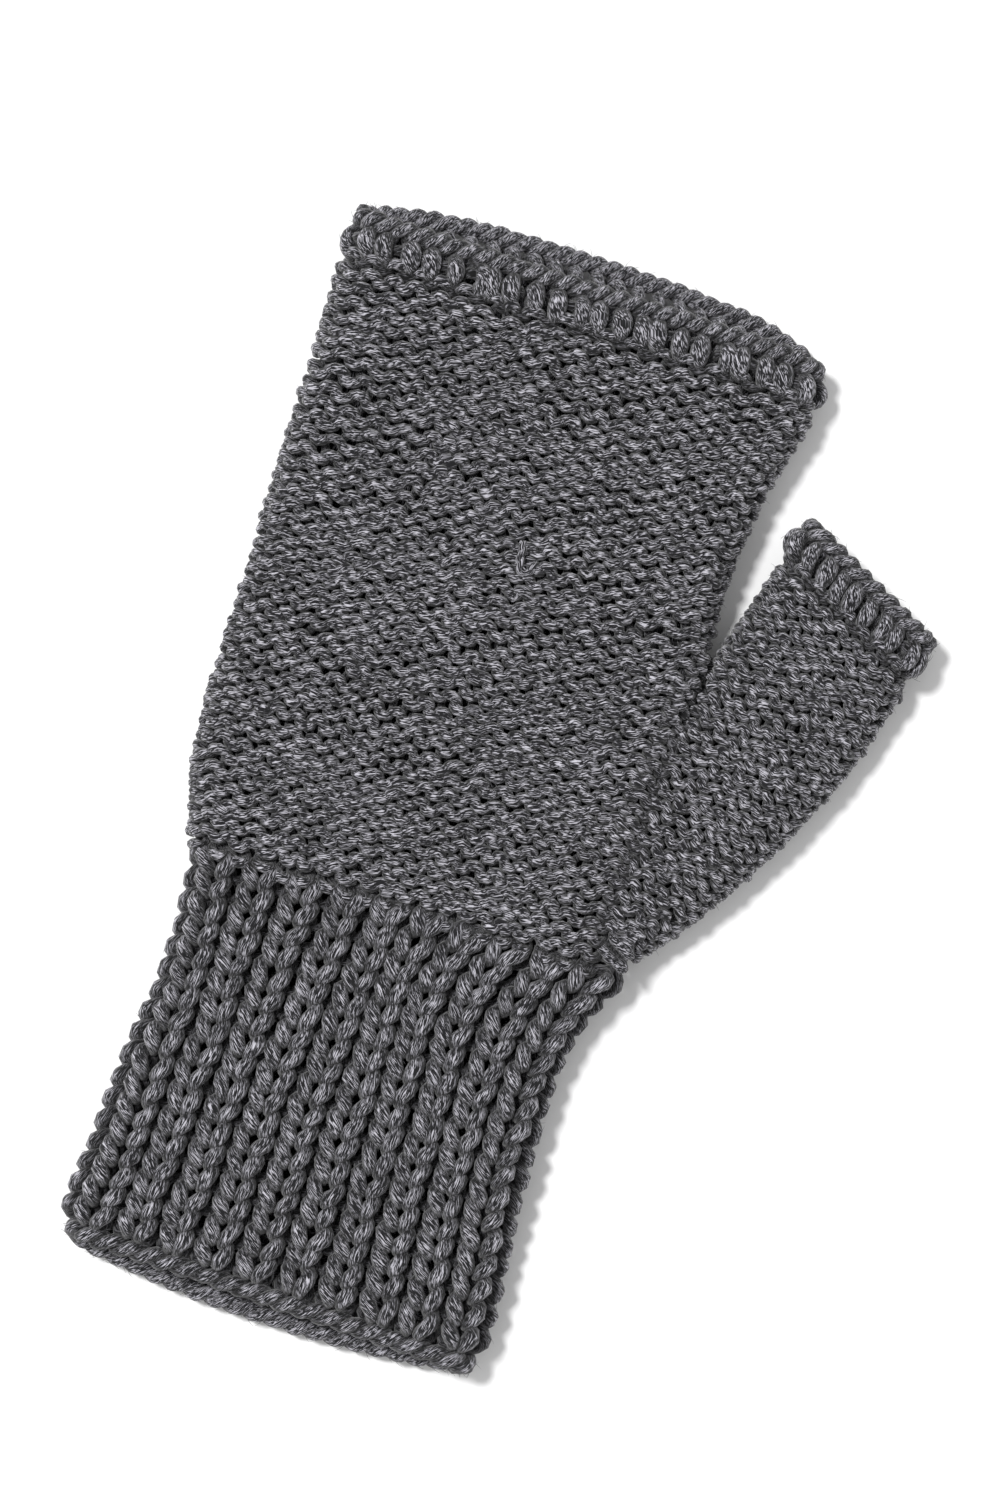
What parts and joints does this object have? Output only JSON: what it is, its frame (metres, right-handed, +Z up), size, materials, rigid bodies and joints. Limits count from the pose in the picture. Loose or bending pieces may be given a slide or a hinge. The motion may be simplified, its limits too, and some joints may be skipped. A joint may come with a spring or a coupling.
{
  "type": "fingerless glove",
  "caption": "Knitted fingerless mitt with a ribbed cuff, purl hand, thumb gusset and rolled hems, lying flat.",
  "frame": {"origin": "under the middle of the whole mitt's outline, on the surface it lies on", "axes": "+Y from the cuff towards the fingers, +X towards the thumb side, +Z up through both layers"},
  "size_m": [0.1313, 0.212, 0.0154],
  "materials": {
    "rib_yarn": "plump heather wool, doubled yarn",
    "hand_yarn": "heather wool, purl side out",
    "hem_yarn": "heather wool, rolled purl band",
    "loose_yarn": "heather wool yarn"
  },
  "bodies": {
    "hand": {"hand_tube": "hand_yarn", "thumb_gusset": "hand_yarn", "finger_hem": "hem_yarn", "yarn_join_stitch": "loose_yarn", "finger_tail": "loose_yarn", "thumb_tail": "loose_yarn"},
    "cuff": {"cuff_rib": "rib_yarn", "cast_on_edge": "rib_yarn", "cast_on_tail": "loose_yarn"},
    "thumb": {"thumb_tube": "hand_yarn", "thumb_hem": "hem_yarn"}
  },
  "joints": [
    {"name": "wrist_fold", "type": "hinge", "parent": "hand", "child": "cuff", "pos_m": [-0.016, -0.0231, 0.0152], "axis": [-1, 0, 0], "range_deg": [0, 45]},
    {"name": "thumb_fold", "type": "hinge", "parent": "hand", "child": "thumb", "pos_m": [0.03955, 0.03258, 0.0142], "axis": [0.891, -0.454, 0], "range_deg": [0, 40]}
  ]
}
